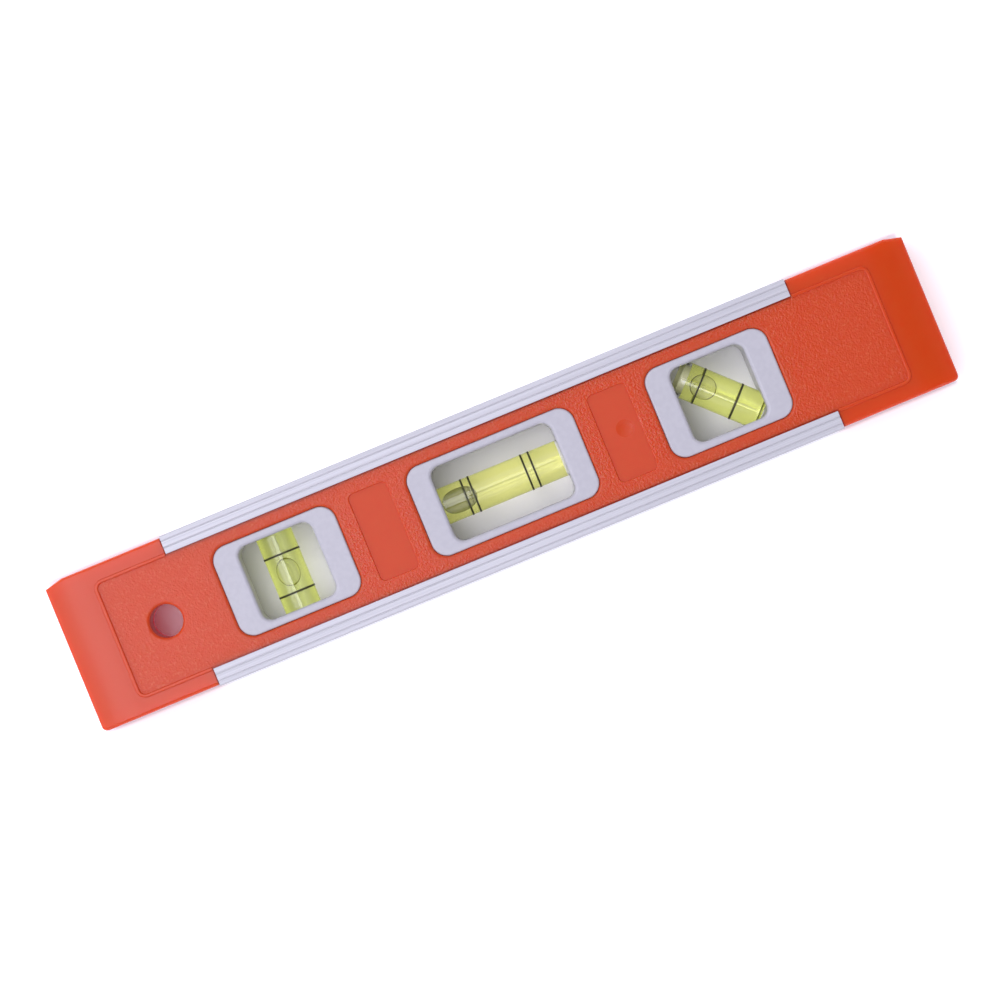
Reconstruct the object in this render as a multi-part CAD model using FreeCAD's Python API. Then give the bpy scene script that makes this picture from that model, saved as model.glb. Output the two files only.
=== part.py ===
import FreeCAD, Part
import math
import os

# Pocket spirit level with three vials, lying on its back with the front face up.
# X runs along the level, Y across its height, Z through its thickness.
# The origin is under the middle of the level, on the surface it lies on. Sizes are in millimetres.

Vector = FreeCAD.Vector
X_AXIS = Vector(1, 0, 0)
Y_AXIS = Vector(0, 1, 0)
Z_AXIS = Vector(0, 0, 1)

# Moulded body
BODY_LENGTH = 229.0
BODY_HEIGHT = 39.2
THICKNESS = 20.0
MARGIN_DROP = 0.5  # smooth end margins lie this far under the lips and rails
PANEL_DROP = 0.65  # textured panel lies this far under the lips and rails
END_MARGIN = 11.45  # from the lip's middle line to the tip of the body, the mean of the two ends
TAPER_RUN = 10.4  # stretch at each tip over which the body gets thinner
TAPER_DROP = 1.1
BODY_EDGE_RADIUS = 0.9
TOP_RELIEF_RUN = 4.7  # the upper edge is cut back towards each tip
TOP_RELIEF_DROP = 1.15
LOWER_CORNER_RADIUS = 1.4

# Lip that frames each end of the panel
PANEL_WIDTH = 30.5
PANEL_CORNER_RADIUS = 2.0
LIP_WIDTH = 0.9
LIP_CREST_RADIUS = 0.3

# Hang hole, through both faces at the left end
HANG_HOLE_RADIUS = 4.15
HANG_HOLE_SHARE = 0.55  # its place, as a share of the way from the left window to the lip
HANG_HOLE_MOUTH_RADIUS = 0.8

# Label recesses in the front panel, left and right of the middle window
LABEL_LENGTH = 10.1
LABEL_WIDTH = 23.0
LABEL_DEPTH = 0.35
LABEL_CORNER_RADIUS = 1.4
LABEL_EDGE_RADIUS = 0.2
LABEL_SPREAD = 31.9  # from the middle of the window row
GATE_DIMPLE_RADIUS = 3.0
GATE_DIMPLE_DEPTH = 0.25
GATE_DIMPLE_AT = (1.0, 0.8)  # from the middle of the right recess

# Aluminium channel rails on the two long edges
RAIL_LENGTH = 166.8
RAIL_WALL = 1.3
RAIL_PROUD = 0.4  # the rail stands out past the body's long edge by this much
RAIL_FLANGE = 4.65
RAIL_CORNER_RADIUS = 0.45
RAIL_END_GAP = 0.3
RAIL_SEAT_GAP = 0.08
FLANGE_GAP = 0.45  # open line between a flange and the panel
FLANGE_GROOVE_RADIUS = 0.2
FLANGE_GROOVES = (1.55, 3.28)  # measured from the flange's inner edge
VEE_DEPTH = 2.6  # groove in the lower rail, which seats the level on a pipe

# White window frames, one pair to a window
WINDOW_ROW_X = 0.3  # the row, the panel and its lip have their middle here
WINDOW_PITCH = 57.7
BEZEL_WIDTH = 23.7
SHORT_BEZEL_LENGTH = 32.4
LONG_BEZEL_LENGTH = 44.4
BEZEL_CORNER_RADIUS = 4.0
BEZEL_DROP = 0.15  # frame's face lies this far under the panel
BEZEL_PLATE = 1.6
BEZEL_WALL = 1.3
BEZEL_EDGE_RADIUS = 0.5
BEZEL_SEAT_GAP = 0.05  # round the frame, in the body's window
BEZEL_JOIN_GAP = 0.04  # between the front and rear frame
SIGHT_BORDER = 2.05  # frame left beside the opening, on each long side
SHORT_SIGHT_LENGTH = 19.6
LONG_SIGHT_LENGTH = 32.1
SIGHT_CORNER_RADIUS = 2.6
SIGHT_EDGE_RADIUS = 0.9
WINDOW_EDGE_RADIUS = 0.7
RIB_THICKNESS = 1.0
RIB_SPREAD = 6.1  # each stiffening rib's distance from the frame's middle line
PEG_RADIUS = 0.8
PEG_HEIGHT = 1.8
PEG_GAP = 0.06
PEG_BOSS_RADIUS = 1.6
PEG_INSET = 3.45  # from the frame's long side

# Vials: a clear tube with one closed end, a plug in the other, liquid and a bubble
TUBE_RADIUS = 4.7
BORE_RADIUS = 3.75
BORE_CROWN = 0.12  # the bore is this much wider at its middle than at its ends
CLOSED_END_RADIUS = 1.8
VIAL_SEAT_GAP = 0.12
SHORT_VIAL_COVER = 0.15  # frame left past each end of a short vial that stands upright in it
SHORT_CLOSED_WALL = 1.0
LONG_VIAL_LENGTH = 37.2
LONG_CLOSED_WALL = 2.2
LONG_VIAL_SHIFT = -0.85  # the long vial's middle, from the middle of its window
ANGLE_VIAL_SHIFT = 0.45
PLUG_SPIGOT_LENGTH = 1.8
PLUMB_SPIGOT_LENGTH = 0.7  # short, so that this plug stays under its frame
PLUG_HEAD_LENGTH = 1.0
PLUG_HEAD_RADIUS = 4.35
PLUG_TIP_RADIUS = 3.2
PLUG_GAP = 0.03
LIQUID_GAP = 0.02
BUBBLE_FILM = 0.12  # liquid left between a bubble and the wall
BUBBLE_SKIN = 0.04  # clearance of the liquid round its bubble

# Bubble length, width and depth, and its place along the vial from the window's middle
PLUMB_BUBBLE = (7.2, 5.3, 3.4)
LEVEL_BUBBLE = (9.0, 5.7, 3.5)
ANGLE_BUBBLE = (6.7, 5.8, 3.5)
PLUMB_BUBBLE_AT = -0.3
LEVEL_BUBBLE_AT = -11.55
ANGLE_BUBBLE_AT = -3.96

# Printed rings on the vials: spacing, and their middle along the vial
MARK_WIDTH = 0.48
MARK_THICKNESS = 0.06
MARK_LIFT = 0.02
PLUMB_MARK_SPACING = 10.1
PLUMB_MARK_CENTRE = -0.55
LEVEL_INNER_SPACING = 14.1
LEVEL_OUTER_SPACING = 18.1
LEVEL_MARK_CENTRE = -0.65
ANGLE_MARK_SPACING = 10.0
ANGLE_MARK_CENTRE = 0.0

# Heights and places that follow from the sizes above
MID_Z = THICKNESS / 2
MARGIN_Z = THICKNESS - MARGIN_DROP
PANEL_Z = THICKNESS - PANEL_DROP
BEZEL_Z = PANEL_Z - BEZEL_DROP
HALF_HEIGHT = BODY_HEIGHT / 2
RAIL_FACE_Y = HALF_HEIGHT + RAIL_PROUD
FLANGE_EDGE_Y = RAIL_FACE_Y - RAIL_FLANGE
TONGUE_Y = RAIL_FACE_Y - RAIL_WALL - RAIL_SEAT_GAP
TONGUE_DROP = RAIL_WALL + RAIL_SEAT_GAP
LIP_LINE_X = BODY_LENGTH / 2 - END_MARGIN
LEFT_WINDOW_EDGE_X = WINDOW_ROW_X - WINDOW_PITCH - SHORT_BEZEL_LENGTH / 2 - BEZEL_SEAT_GAP
LEFT_LIP_X = WINDOW_ROW_X - LIP_LINE_X
HANG_HOLE_X = LEFT_WINDOW_EDGE_X - HANG_HOLE_SHARE * (LEFT_WINDOW_EDGE_X - LEFT_LIP_X)
LABEL_X = (WINDOW_ROW_X - LABEL_SPREAD, WINDOW_ROW_X + LABEL_SPREAD)
SIGHT_WIDTH = BEZEL_WIDTH - 2 * SIGHT_BORDER
PEG_SPREAD = BEZEL_WIDTH / 2 - PEG_INSET
SHORT_VIAL_LENGTH = BEZEL_WIDTH - 2 * SHORT_VIAL_COVER
CLEAR = 5.0  # cutters run this far past the surface that they cut
TOUCH = 1e-4


def rounded_rectangle(length, width, radius, x=0.0, z=0.0):
    """Flat face with round corners, its middle at (x, 0, z)."""
    arcs = []
    for side_x, side_y, start in ((1, 1, 0), (-1, 1, 90), (-1, -1, 180), (1, -1, 270)):
        corner_x = x + side_x * (length / 2 - radius)
        corner_y = side_y * (width / 2 - radius)
        arcs.append(Part.makeCircle(radius, Vector(corner_x, corner_y, z), Z_AXIS, start, start + 90))
    edges = []
    for index, arc in enumerate(arcs):
        following = arcs[(index + 1) % len(arcs)]
        edges.append(arc)
        edges.append(Part.makeLine(arc.valueAt(arc.LastParameter), following.valueAt(following.FirstParameter)))
    return Part.Face(Part.Wire(edges))


def rounded_prism(length, width, radius, x, low, high):
    """Upright prism of a rounded rectangle between two heights."""
    return rounded_rectangle(length, width, radius, x, low).extrude(Z_AXIS * (high - low))


def box_between(low, high):
    """Box from its lowest to its highest corner."""
    size = high - low
    return Part.makeBox(size.x, size.y, size.z, low)


def polygon(points):
    """Flat face with straight sides."""
    return Part.Face(Part.makePolygon(points + points[:1]))


def flipped(shape):
    """The same shape for the rear half, mirrored in the middle plane of the thickness."""
    return shape.mirror(Vector(0, 0, MID_Z), Z_AXIS)


def both_halves(shape):
    """A front shape and its rear twin."""
    return [shape, flipped(shape)]


def edges_at_height(shape, height, x=0.0, length=2 * BODY_LENGTH, width=2 * BODY_HEIGHT):
    """Edges that lie flat at a height, inside a rectangle of this length and width with its middle at (x, 0)."""
    found = []
    for edge in shape.Edges:
        box = edge.BoundBox
        flat = abs(box.ZMin - height) < TOUCH and abs(box.ZMax - height) < TOUCH
        inside_length = box.XMin > x - length / 2 - TOUCH and box.XMax < x + length / 2 + TOUCH
        inside_width = box.YMin > -width / 2 - TOUCH and box.YMax < width / 2 + TOUCH
        if flat and inside_length and inside_width:
            found.append(edge)
    return found


# Body

def body_outline():
    """Face of the body seen from the front: upper edge cut back to each tip, round lower corners."""
    half = BODY_LENGTH / 2
    bend_x = half - TOP_RELIEF_RUN
    tip_y = HALF_HEIGHT - TOP_RELIEF_DROP
    corner = LOWER_CORNER_RADIUS
    corner_inset = corner * (1 - math.sqrt(0.5))
    low = -HALF_HEIGHT
    edges = [
        Part.makeLine(Vector(-bend_x, HALF_HEIGHT, 0), Vector(bend_x, HALF_HEIGHT, 0)),
        Part.makeLine(Vector(bend_x, HALF_HEIGHT, 0), Vector(half, tip_y, 0)),
        Part.makeLine(Vector(half, tip_y, 0), Vector(half, low + corner, 0)),
        Part.Arc(
            Vector(half, low + corner, 0),
            Vector(half - corner_inset, low + corner_inset, 0),
            Vector(half - corner, low, 0),
        ).toShape(),
        Part.makeLine(Vector(half - corner, low, 0), Vector(corner - half, low, 0)),
        Part.Arc(
            Vector(corner - half, low, 0),
            Vector(corner_inset - half, low + corner_inset, 0),
            Vector(-half, low + corner, 0),
        ).toShape(),
        Part.makeLine(Vector(-half, low + corner, 0), Vector(-half, tip_y, 0)),
        Part.makeLine(Vector(-half, tip_y, 0), Vector(-bend_x, HALF_HEIGHT, 0)),
    ]
    return Part.Face(Part.Wire(edges))


def body_side_profile():
    """Face of the body seen from a long edge: flat, and thinner towards each tip in a long arc."""
    half = BODY_LENGTH / 2
    start = half - TAPER_RUN
    arc_radius = (TAPER_RUN ** 2 + TAPER_DROP ** 2) / (2 * TAPER_DROP)
    middle_angle = math.asin(TAPER_RUN / arc_radius) / 2
    middle_x = start + arc_radius * math.sin(middle_angle)
    middle_drop = arc_radius * (1 - math.cos(middle_angle))
    y = -HALF_HEIGHT
    front = MARGIN_Z
    rear = THICKNESS - MARGIN_Z

    def arc(side, face_z, direction):
        return Part.Arc(
            Vector(side * start, y, face_z),
            Vector(side * middle_x, y, face_z - direction * middle_drop),
            Vector(side * half, y, face_z - direction * TAPER_DROP),
        ).toShape()

    edges = [
        Part.makeLine(Vector(-start, y, front), Vector(start, y, front)),
        arc(1, front, 1),
        Part.makeLine(Vector(half, y, front - TAPER_DROP), Vector(half, y, rear + TAPER_DROP)),
        arc(1, rear, -1),
        Part.makeLine(Vector(start, y, rear), Vector(-start, y, rear)),
        arc(-1, rear, -1),
        Part.makeLine(Vector(-half, y, rear + TAPER_DROP), Vector(-half, y, front - TAPER_DROP)),
        arc(-1, front, 1),
    ]
    return Part.Face(Part.Wire(Part.__sortEdges__(edges)))


def body_blank():
    """Whole moulding before its cuts, with every outer edge rounded."""
    blank = body_outline().extrude(Z_AXIS * THICKNESS)
    blank = blank.common(body_side_profile().extrude(Y_AXIS * BODY_HEIGHT))
    rim = []
    for edge in blank.Edges:
        box = edge.BoundBox
        on_a_face = box.ZMin > MID_Z or box.ZMax < MID_Z
        crosses_a_face = box.XLength < TOUCH and abs(box.XMin) < BODY_LENGTH / 2 - TOUCH
        if on_a_face and not crosses_a_face:
            rim.append(edge)
    return blank.makeFillet(BODY_EDGE_RADIUS, rim)


def lip():
    """Round-topped bead along the panel's border, outside the stretch that the rails cover."""
    outer = rounded_prism(
        2 * LIP_LINE_X + LIP_WIDTH,
        PANEL_WIDTH + LIP_WIDTH,
        PANEL_CORNER_RADIUS + LIP_WIDTH / 2,
        WINDOW_ROW_X,
        PANEL_Z - PANEL_DROP,
        THICKNESS,
    )
    inner = rounded_prism(
        2 * LIP_LINE_X - LIP_WIDTH,
        PANEL_WIDTH - LIP_WIDTH,
        PANEL_CORNER_RADIUS - LIP_WIDTH / 2,
        WINDOW_ROW_X,
        PANEL_Z - PANEL_DROP,
        THICKNESS,
    )
    ring = outer.cut(inner)
    ring = ring.makeFillet(LIP_CREST_RADIUS, edges_at_height(ring, THICKNESS))
    rail_stretch = RAIL_LENGTH / 2 + RAIL_END_GAP
    gap = box_between(
        Vector(-rail_stretch, -BODY_HEIGHT, 0),
        Vector(rail_stretch, BODY_HEIGHT, THICKNESS + CLEAR),
    )
    return ring.cut(gap)


def vee_line(offset):
    """Corner points of the lower rail's groove, on a line set back by offset from the rail's outer face."""
    face_y = offset - RAIL_FACE_Y
    mouth = VEE_DEPTH + offset * (math.sqrt(2) - 1)
    bottom_y = VEE_DEPTH + offset * math.sqrt(2) - RAIL_FACE_Y
    return [(face_y, MID_Z + mouth), (bottom_y, MID_Z), (face_y, MID_Z - mouth)]


def rail_rebate():
    """Cutters that narrow the body to a tongue along both long edges, where the rails wrap it."""
    stretch = RAIL_LENGTH / 2 + RAIL_END_GAP
    panel_edge_y = FLANGE_EDGE_Y - FLANGE_GAP
    cutters = []
    for side in (1, -1):
        slot = box_between(
            Vector(-stretch, min(side * panel_edge_y, side * BODY_HEIGHT), THICKNESS - TONGUE_DROP),
            Vector(stretch, max(side * panel_edge_y, side * BODY_HEIGHT), THICKNESS + CLEAR),
        )
        cutters += both_halves(slot)
        cutters.append(
            box_between(
                Vector(-stretch, min(side * TONGUE_Y, side * BODY_HEIGHT), -CLEAR),
                Vector(stretch, max(side * TONGUE_Y, side * BODY_HEIGHT), THICKNESS + CLEAR),
            )
        )
    groove = [Vector(-stretch, y, z) for y, z in vee_line(RAIL_WALL + RAIL_SEAT_GAP)]
    cutters.append(polygon(groove).extrude(X_AXIS * (2 * stretch)))
    return cutters


def window_cutters():
    """Through windows that take the bezels."""
    gap = 2 * BEZEL_SEAT_GAP
    cutters = []
    for window in WINDOWS:
        cutters.append(
            rounded_prism(
                window["bezel_length"] + gap,
                BEZEL_WIDTH + gap,
                BEZEL_CORNER_RADIUS + BEZEL_SEAT_GAP,
                window["x"],
                -CLEAR,
                THICKNESS + CLEAR,
            )
        )
    return cutters


def label_recess(x):
    """Shallow pocket for a label, open to the front."""
    floor = PANEL_Z - LABEL_DEPTH
    return rounded_prism(LABEL_LENGTH, LABEL_WIDTH, LABEL_CORNER_RADIUS, x, floor, PANEL_Z + CLEAR)


def gate_dimple(recess_x):
    """Shallow round dish left by the mould in the floor of a label recess."""
    along, up = GATE_DIMPLE_AT
    floor = PANEL_Z - LABEL_DEPTH
    dish = (GATE_DIMPLE_RADIUS ** 2 + GATE_DIMPLE_DEPTH ** 2) / (2 * GATE_DIMPLE_DEPTH)
    return Part.makeSphere(dish, Vector(recess_x + along, up, floor - GATE_DIMPLE_DEPTH + dish))


def body():
    """One-piece moulded body."""
    shape = body_blank()
    panel = rounded_prism(
        2 * LIP_LINE_X,
        PANEL_WIDTH,
        PANEL_CORNER_RADIUS,
        WINDOW_ROW_X,
        PANEL_Z,
        THICKNESS + CLEAR,
    )
    shape = shape.cut(both_halves(panel))
    shape = shape.fuse(both_halves(lip())).removeSplitter()
    shape = shape.cut(rail_rebate())
    shape = shape.cut(window_cutters())
    for window in WINDOWS:
        length = window["bezel_length"] + 2 * BEZEL_SEAT_GAP
        width = BEZEL_WIDTH + 2 * BEZEL_SEAT_GAP
        for face_z in (PANEL_Z, THICKNESS - PANEL_Z):
            rim = edges_at_height(shape, face_z, window["x"], length, width)
            shape = shape.makeFillet(WINDOW_EDGE_RADIUS, rim)
    hang_hole = Part.makeCylinder(HANG_HOLE_RADIUS, THICKNESS + 2 * CLEAR, Vector(HANG_HOLE_X, 0, -CLEAR))
    shape = shape.cut(hang_hole)
    for face_z in (PANEL_Z, THICKNESS - PANEL_Z):
        rim = edges_at_height(shape, face_z, HANG_HOLE_X, 2 * HANG_HOLE_RADIUS, 2 * HANG_HOLE_RADIUS)
        shape = shape.makeFillet(HANG_HOLE_MOUTH_RADIUS, rim)
    for x in LABEL_X:
        shape = shape.cut(label_recess(x))
        rim = edges_at_height(shape, PANEL_Z, x, LABEL_LENGTH, LABEL_WIDTH)
        shape = shape.makeFillet(LABEL_EDGE_RADIUS, rim)
    return shape.cut(gate_dimple(LABEL_X[1]))


# Rails

def rail_section(vee):
    """Face of the channel at its left end, drawn for the lower edge, with or without the groove."""
    x = -RAIL_LENGTH / 2
    radius = RAIL_CORNER_RADIUS
    inset = radius * (1 - math.sqrt(0.5))
    face_y = -RAIL_FACE_Y
    inner_y = RAIL_WALL - RAIL_FACE_Y
    edge_y = -FLANGE_EDGE_Y
    outer_line = [(face_y, THICKNESS - radius)]
    inner_line = [(inner_y, THICKNESS - RAIL_WALL)]
    if vee:
        outer_line += vee_line(0)
        inner_line += vee_line(RAIL_WALL)
    outer_line.append((face_y, radius))
    inner_line.append((inner_y, RAIL_WALL))
    outer_points = [Vector(x, y, z) for y, z in outer_line]
    inner_points = [Vector(x, y, z) for y, z in inner_line]
    front_corner = Part.Arc(
        Vector(x, face_y + radius, THICKNESS),
        Vector(x, face_y + inset, THICKNESS - inset),
        outer_points[0],
    ).toShape()
    rear_corner = Part.Arc(
        outer_points[-1],
        Vector(x, face_y + inset, inset),
        Vector(x, face_y + radius, 0),
    ).toShape()
    front_flange = Part.makePolygon(
        [inner_points[0], Vector(x, edge_y, THICKNESS - RAIL_WALL), Vector(x, edge_y, THICKNESS),
         Vector(x, face_y + radius, THICKNESS)]
    )
    rear_flange = Part.makePolygon(
        [Vector(x, face_y + radius, 0), Vector(x, edge_y, 0), Vector(x, edge_y, RAIL_WALL), inner_points[-1]]
    )
    edges = [front_corner, rear_corner]
    edges += Part.makePolygon(outer_points).Edges
    edges += Part.makePolygon(inner_points).Edges
    edges += front_flange.Edges + rear_flange.Edges
    return Part.Face(Part.Wire(Part.__sortEdges__(edges)))


def rail(vee):
    """Lower rail, extruded along X, with two fine grooves in each flange."""
    shape = rail_section(vee).extrude(X_AXIS * RAIL_LENGTH)
    for distance in FLANGE_GROOVES:
        for face_z in (0, THICKNESS):
            start = Vector(-RAIL_LENGTH / 2 - CLEAR, -FLANGE_EDGE_Y - distance, face_z)
            groove = Part.makeCylinder(FLANGE_GROOVE_RADIUS, RAIL_LENGTH + 2 * CLEAR, start, X_AXIS)
            shape = shape.cut(groove)
    return shape


# Window frames

def bezel_half(window, with_pegs):
    """Front half of a window frame: a face plate, two skirts, ribs, and round seats for the vial.

    The front half has sockets in its bosses. The rear half has pegs that stand past the middle plane.
    """
    x = window["x"]
    length = window["bezel_length"]
    sight = window["sight_length"]
    low = MID_Z + BEZEL_JOIN_GAP / 2
    plate_z = BEZEL_Z - BEZEL_PLATE
    outer = rounded_prism(length, BEZEL_WIDTH, BEZEL_CORNER_RADIUS, x, low, BEZEL_Z)
    outer = outer.makeFillet(BEZEL_EDGE_RADIUS, edges_at_height(outer, BEZEL_Z))
    opening = rounded_prism(sight, SIGHT_WIDTH, SIGHT_CORNER_RADIUS, x, low - CLEAR, BEZEL_Z + CLEAR)
    shape = outer.cut(opening)
    rim = edges_at_height(shape, BEZEL_Z, x, sight, SIGHT_WIDTH)
    shape = shape.makeFillet(SIGHT_EDGE_RADIUS, rim)

    skirt = rounded_prism(
        length - 2 * BEZEL_WALL,
        BEZEL_WIDTH - 2 * BEZEL_WALL,
        BEZEL_CORNER_RADIUS - BEZEL_WALL,
        x,
        low - CLEAR,
        plate_z,
    )
    core = rounded_prism(
        sight + 2 * BEZEL_WALL,
        BEZEL_WIDTH,
        SIGHT_CORNER_RADIUS + BEZEL_WALL,
        x,
        low - CLEAR,
        plate_z,
    )
    shape = shape.cut(skirt.cut(core))

    fittings = []
    pocket_middle = (length + sight) / 4
    for side_x in (1, -1):
        for side_y in (1, -1):
            rib = box_between(
                Vector(x + side_x * pocket_middle - (length - sight) / 4 + BEZEL_WALL / 2,
                       side_y * RIB_SPREAD - RIB_THICKNESS / 2, low),
                Vector(x + side_x * pocket_middle + (length - sight) / 4 - BEZEL_WALL / 2,
                       side_y * RIB_SPREAD + RIB_THICKNESS / 2, plate_z),
            )
            boss_at = Vector(x + side_x * pocket_middle, side_y * PEG_SPREAD, low)
            fittings += [rib, Part.makeCylinder(PEG_BOSS_RADIUS, plate_z - low, boss_at)]
    shape = shape.fuse(fittings).removeSplitter()
    shape = shape.cut(vial_envelope(window, VIAL_SEAT_GAP))

    for side_x in (1, -1):
        for side_y in (1, -1):
            at = Vector(x + side_x * pocket_middle, side_y * PEG_SPREAD, low)
            if with_pegs:
                peg = Part.makeCylinder(PEG_RADIUS, PEG_HEIGHT + 1, at - Z_AXIS * PEG_HEIGHT)
                shape = shape.fuse(peg)
            else:
                depth = PEG_HEIGHT + 2 * PEG_GAP
                socket = Part.makeCylinder(PEG_RADIUS + PEG_GAP, depth + CLEAR, at - Z_AXIS * CLEAR)
                shape = shape.cut(socket)
    return shape.removeSplitter()


# Vials

def turned(points):
    """Solid of revolution about the vial's axis from (along, radius) points."""
    outline = [Vector(along, 0, radius) for along, radius in points]
    return polygon(outline).revolve(Vector(0, 0, 0), X_AXIS, 360)


def placed(shape, window):
    """Bring a vial piece from its own axis to its place in the window."""
    shape = shape.copy()
    shape.rotate(Vector(0, 0, 0), Z_AXIS, window["angle"])
    shape.translate(Vector(window["x"], 0, MID_Z))
    return shape


def vial_envelope(window, gap):
    """Outside of a whole vial, grown by a gap, in its place."""
    start = window["vial_start"] - gap
    end = window["vial_end"] + gap
    head_end = window["vial_start"] + PLUG_HEAD_LENGTH
    bevel = CLOSED_END_RADIUS * (2 - math.sqrt(2))
    radius = TUBE_RADIUS + gap
    points = [
        (start, 0),
        (start, PLUG_HEAD_RADIUS + gap),
        (head_end - gap, radius),
        (end - bevel, radius),
        (end, radius - bevel),
        (end, 0),
    ]
    return placed(turned(points), window)


def bore_profile(window, gap):
    """Edges of the bore's half section: a barrel that is widest at its middle, with flat ends."""
    low = window["chamber_start"] + gap
    high = window["chamber_end"] - gap
    radius = BORE_RADIUS - gap
    edge_low = Vector(low, 0, radius)
    edge_high = Vector(high, 0, radius)
    crown = Vector((low + high) / 2, 0, radius + BORE_CROWN)
    edges = [
        Part.makeLine(Vector(low, 0, 0), edge_low),
        Part.Arc(edge_low, crown, edge_high).toShape(),
        Part.makeLine(edge_high, Vector(high, 0, 0)),
        Part.makeLine(Vector(high, 0, 0), Vector(low, 0, 0)),
    ]
    return Part.Face(Part.Wire(edges))


def bore(window, gap):
    """Space inside a vial, shrunk by a gap, on the vial's own axis."""
    return bore_profile(window, gap).revolve(Vector(0, 0, 0), X_AXIS, 360)


def vial_tube(window):
    """Clear tube, open at the plug's end and closed at the other."""
    start = window["vial_start"] + PLUG_HEAD_LENGTH
    length = window["vial_end"] - start
    tube = Part.makeCylinder(TUBE_RADIUS, length, Vector(start, 0, 0), X_AXIS)
    closed_rim = [edge for edge in tube.Edges if edge.BoundBox.XMin > window["vial_end"] - TOUCH]
    tube = tube.makeFillet(CLOSED_END_RADIUS, closed_rim)
    mouth_length = window["chamber_start"] - start + CLEAR
    mouth = Part.makeCylinder(BORE_RADIUS, mouth_length, Vector(start - CLEAR, 0, 0), X_AXIS)
    return placed(tube.cut(mouth).cut(bore(window, 0)), window)


def vial_plug(window):
    """Plug with a spigot in the bore and a tapered head outside it."""
    head = window["vial_start"]
    shoulder = head + PLUG_HEAD_LENGTH
    points = [
        (head, 0),
        (head, PLUG_TIP_RADIUS),
        (shoulder - PLUG_GAP, PLUG_HEAD_RADIUS),
        (shoulder - PLUG_GAP, BORE_RADIUS - PLUG_GAP),
        (window["chamber_start"], BORE_RADIUS - PLUG_GAP),
        (window["chamber_start"], 0),
    ]
    return placed(turned(points), window)


def bubble_form(window, skin):
    """Bubble on the vial's own axis: a flattened egg pressed against the top of the bore, grown by skin."""
    length, width, depth = window["bubble"]
    unit = Part.makeSphere(1.0)
    scale = FreeCAD.Matrix()
    scale.scale(length / 2 + skin, width / 2 + skin, depth / 2 + skin)
    egg = unit.transformGeometry(scale)
    top = BORE_RADIUS - BUBBLE_FILM
    rise = width ** 2 / (8 * top)
    egg.translate(Vector(window["bubble_at"], 0, top + rise / 2 - depth / 2))
    limit = Part.makeCylinder(top + skin, 2 * length, Vector(window["bubble_at"] - length, 0, 0), X_AXIS)
    return egg.common(limit)


def liquid(window):
    """Liquid that fills the bore round the bubble."""
    fill = bore(window, LIQUID_GAP)
    return placed(fill.cut(bubble_form(window, BUBBLE_SKIN)), window)


def mark_ring(window, along):
    """Printed ring round the tube."""
    inner_radius = TUBE_RADIUS + MARK_LIFT
    start = Vector(along - MARK_WIDTH / 2, 0, 0)
    ring = Part.makeCylinder(inner_radius + MARK_THICKNESS, MARK_WIDTH, start, X_AXIS)
    return placed(ring.cut(Part.makeCylinder(inner_radius, MARK_WIDTH, start, X_AXIS)), window)


def window_values(name, x, angle, vial, bubble, bubble_at, marks, long_vial=False):
    """Sizes of one window, its vial and what the vial holds. Places along a vial start at the window's middle."""
    length, spigot, closed_wall, shift = vial
    start = shift - length / 2
    end = shift + length / 2
    return {
        "name": name,
        "x": x,
        "angle": angle,
        "bezel_length": LONG_BEZEL_LENGTH if long_vial else SHORT_BEZEL_LENGTH,
        "sight_length": LONG_SIGHT_LENGTH if long_vial else SHORT_SIGHT_LENGTH,
        "vial_start": start,
        "vial_end": end,
        "chamber_start": start + PLUG_HEAD_LENGTH + spigot,
        "chamber_end": end - closed_wall,
        "bubble": bubble,
        "bubble_at": bubble_at,
        "marks": marks,
    }


PLUMB_MARKS = {
    "upper": PLUMB_MARK_CENTRE + PLUMB_MARK_SPACING / 2,
    "lower": PLUMB_MARK_CENTRE - PLUMB_MARK_SPACING / 2,
}
LEVEL_MARKS = {
    "outer_left": LEVEL_MARK_CENTRE - LEVEL_OUTER_SPACING / 2,
    "inner_left": LEVEL_MARK_CENTRE - LEVEL_INNER_SPACING / 2,
    "inner_right": LEVEL_MARK_CENTRE + LEVEL_INNER_SPACING / 2,
    "outer_right": LEVEL_MARK_CENTRE + LEVEL_OUTER_SPACING / 2,
}
ANGLE_MARKS = {
    "upper": ANGLE_MARK_CENTRE - ANGLE_MARK_SPACING / 2,
    "lower": ANGLE_MARK_CENTRE + ANGLE_MARK_SPACING / 2,
}
# Length, spigot length, closed wall and shift of each vial
PLUMB_VIAL = (SHORT_VIAL_LENGTH, PLUMB_SPIGOT_LENGTH, SHORT_CLOSED_WALL, 0.0)
LEVEL_VIAL = (LONG_VIAL_LENGTH, PLUG_SPIGOT_LENGTH, LONG_CLOSED_WALL, LONG_VIAL_SHIFT)
ANGLE_VIAL = (SHORT_VIAL_LENGTH, PLUG_SPIGOT_LENGTH, SHORT_CLOSED_WALL, ANGLE_VIAL_SHIFT)

PLUMB_X = WINDOW_ROW_X - WINDOW_PITCH
ANGLE_X = WINDOW_ROW_X + WINDOW_PITCH
WINDOWS = [
    window_values("plumb", PLUMB_X, 90, PLUMB_VIAL, PLUMB_BUBBLE, PLUMB_BUBBLE_AT, PLUMB_MARKS),
    window_values(
        "level", WINDOW_ROW_X, 0, LEVEL_VIAL, LEVEL_BUBBLE, LEVEL_BUBBLE_AT, LEVEL_MARKS, long_vial=True
    ),
    window_values("angle", ANGLE_X, -45, ANGLE_VIAL, ANGLE_BUBBLE, ANGLE_BUBBLE_AT, ANGLE_MARKS),
]


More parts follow.
